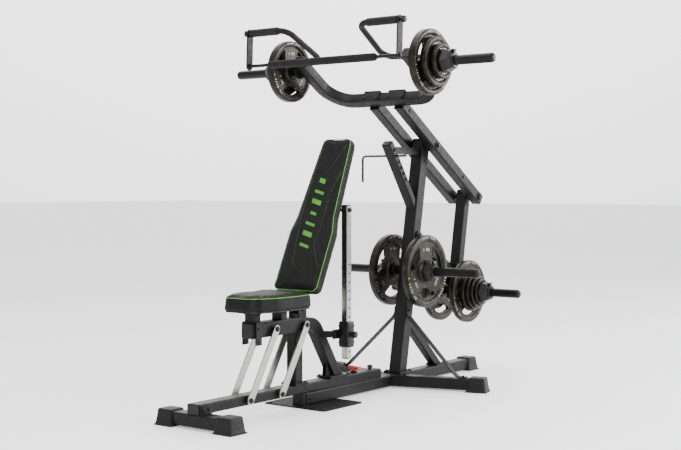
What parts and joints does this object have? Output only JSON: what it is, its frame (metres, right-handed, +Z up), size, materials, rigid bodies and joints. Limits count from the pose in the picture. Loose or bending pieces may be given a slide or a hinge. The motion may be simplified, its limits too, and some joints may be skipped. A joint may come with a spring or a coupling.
{
  "type": "t bar row",
  "caption": "Plate-loaded lever machine with a long lever arm, swinging handle frame, stored plates and an adjustable padded bench on a parallelogram link base.",
  "frame": {"origin": "centre of the bounding box footprint, on the floor", "axes": "+X towards the machine's right side, +Y towards the plate end, +Z up"},
  "size_m": [1.7, 2.4682, 1.969],
  "materials": {
    "black_steel": "satin powder coat",
    "zinc_steel": "zinc plated, satin",
    "chrome_steel": "polished chrome",
    "cast_iron": "hammertone enamel",
    "vinyl_pad": "grained vinyl with green piping",
    "rubber_cap": "matt moulded",
    "grip_foam": "matt foam",
    "black_plastic": "moulded",
    "red_plastic": "moulded, gloss"
  },
  "bodies": {
    "base": {"base_rail": "black_steel", "foot_plate": "black_steel", "leg_right": "black_steel", "leg_left": "black_steel", "leg_cap_right": "rubber_cap", "leg_cap_left": "rubber_cap", "rear_cap": "rubber_cap", "upright": "black_steel", "rear_brace": "black_steel", "side_brace_right": "black_steel", "side_brace_left": "black_steel", "stop_branch": "black_steel", "storage_horn": "black_steel", "main_pivot_pin": "zinc_steel", "bench_rail": "black_steel", "front_foot": "black_steel", "foot_cap_right": "rubber_cap", "foot_cap_left": "rubber_cap"},
    "stop_pin_body": {"stop_pin": "chrome_steel"},
    "bench_lock_body": {"bench_lock_pin": "red_plastic"},
    "storage_right": {"storage_plate_right": "cast_iron", "storage_collar_right": "black_plastic"},
    "storage_left": {"storage_plate_left": "cast_iron", "storage_collar_left": "black_plastic"},
    "lever": {"lever_tube_right": "black_steel", "lever_tube_left": "black_steel", "yoke": "black_steel", "top_sleeve_right": "black_steel", "top_sleeve_left": "black_steel"},
    "top_stack_right": {"top_plate_large_right": "cast_iron", "top_plate_medium_right": "cast_iron", "top_plate_small_right": "cast_iron", "top_collar_right": "black_plastic"},
    "top_stack_left": {"top_plate_large_left": "cast_iron", "top_plate_medium_left": "cast_iron", "top_plate_small_left": "cast_iron", "top_collar_left": "black_plastic"},
    "handle_frame": {"handle_right": "black_steel", "handle_left": "black_steel", "link_bar_right": "black_steel", "link_bar_left": "black_steel", "crossbar": "grip_foam"},
    "strut_body": {"strut": "black_steel", "low_sleeve": "black_steel"},
    "low_stack_right": {"low_plate_large_right": "cast_iron", "low_plates_small_right": "cast_iron", "low_collar_right": "black_plastic"},
    "low_stack_left": {"low_plate_large_left": "cast_iron", "low_plates_small_left": "cast_iron", "low_collar_left": "black_plastic"},
    "lower_link_body": {"lower_link": "black_steel"},
    "front_links_body": {"front_links": "zinc_steel"},
    "rear_links_body": {"rear_links": "zinc_steel"},
    "bench": {"bench_frame": "black_steel", "seat_pad": "vinyl_pad"},
    "back": {"back_frame": "black_steel", "back_pad": "vinyl_pad"},
    "post": {"adjusting_post": "chrome_steel"},
    "clamp": {"clamp_sleeve": "black_plastic"},
    "clamp_pin_body": {"clamp_pin": "black_plastic"}
  },
  "joints": [
    {"name": "lever_pivot", "type": "hinge", "parent": "base", "child": "lever", "pos_m": [0, 0.6725, 1.356], "axis": [1, 0, 0], "range_deg": [-24, 12]},
    {"name": "strut_pivot", "type": "hinge", "parent": "lever", "child": "strut_body", "pos_m": [0, 1.13209, 1.05754], "axis": [1, 0, 0], "range_deg": [-13, 25]},
    {"name": "lower_link_pivot", "type": "hinge", "parent": "base", "child": "lower_link_body", "pos_m": [0, 0.58042, 0.84422], "axis": [1, 0, 0], "range_deg": [-25, 13]},
    {"name": "handle_swing", "type": "hinge", "parent": "lever", "child": "handle_frame", "pos_m": [0, 0.0159, 1.7991], "axis": [1, 0, 0], "range_deg": [-55, 0]},
    {"name": "stop_pin_slide", "type": "slide", "parent": "base", "child": "stop_pin_body", "axis": [-1, 0, 0], "range_m": [0, 0.13]},
    {"name": "bench_lock_slide", "type": "slide", "parent": "base", "child": "bench_lock_body", "axis": [0, 0, 1], "range_m": [0, 0.035], "stiffness_N_per_m": 400, "springref_m": -0.01},
    {"name": "storage_right_slide", "type": "slide", "parent": "base", "child": "storage_right", "axis": [1, 0, 0], "range_m": [0, 0.27]},
    {"name": "storage_left_slide", "type": "slide", "parent": "base", "child": "storage_left", "axis": [-1, 0, 0], "range_m": [0, 0.27]},
    {"name": "top_right_slide", "type": "slide", "parent": "lever", "child": "top_stack_right", "axis": [1, 0, 0], "range_m": [0, 0.2]},
    {"name": "top_left_slide", "type": "slide", "parent": "lever", "child": "top_stack_left", "axis": [-1, 0, 0], "range_m": [0, 0.2]},
    {"name": "low_right_slide", "type": "slide", "parent": "strut_body", "child": "low_stack_right", "axis": [1, 0, 0], "range_m": [0, 0.2]},
    {"name": "low_left_slide", "type": "slide", "parent": "strut_body", "child": "low_stack_left", "axis": [-1, 0, 0], "range_m": [0, 0.2]},
    {"name": "bench_swing", "type": "hinge", "parent": "base", "child": "front_links_body", "pos_m": [0, -0.8805, 0.095], "axis": [1, 0, 0], "range_deg": [0, 61]},
    {"name": "rear_link_pivot", "type": "hinge", "parent": "base", "child": "rear_links_body", "pos_m": [0, -0.6455, 0.095], "axis": [1, 0, 0], "range_deg": [0, 61]},
    {"name": "bench_carry", "type": "hinge", "parent": "front_links_body", "child": "bench", "pos_m": [0, -0.6855, 0.422], "axis": [1, 0, 0], "range_deg": [-61, 0]},
    {"name": "back_recline", "type": "hinge", "parent": "bench", "child": "back", "pos_m": [0, -0.4555, 0.5], "axis": [1, 0, 0], "range_deg": [-20, 0]},
    {"name": "post_pivot", "type": "hinge", "parent": "back", "child": "post", "pos_m": [0.122, -0.2085, 1], "axis": [1, 0, 0], "range_deg": [0, 3.9]},
    {"name": "clamp_pivot", "type": "hinge", "parent": "bench", "child": "clamp", "pos_m": [0.122, -0.2065, 0.357], "axis": [1, 0, 0], "range_deg": [-16.5, 0]},
    {"name": "clamp_pin_slide", "type": "slide", "parent": "clamp", "child": "clamp_pin_body", "axis": [1, 0, 0], "range_m": [0, 0.02], "stiffness_N_per_m": 400, "springref_m": -0.01}
  ],
  "couplings": [
    {"joint": "strut_pivot", "follows": "lever_pivot", "ratio": -1},
    {"joint": "lower_link_pivot", "follows": "lever_pivot", "ratio": 1},
    {"joint": "rear_link_pivot", "follows": "bench_swing", "ratio": 1},
    {"joint": "bench_carry", "follows": "bench_swing", "ratio": -1},
    {"joint": "post_pivot", "follows": "back_recline", "ratio": -0.185},
    {"joint": "clamp_pivot", "follows": "back_recline", "ratio": 0.815}
  ]
}
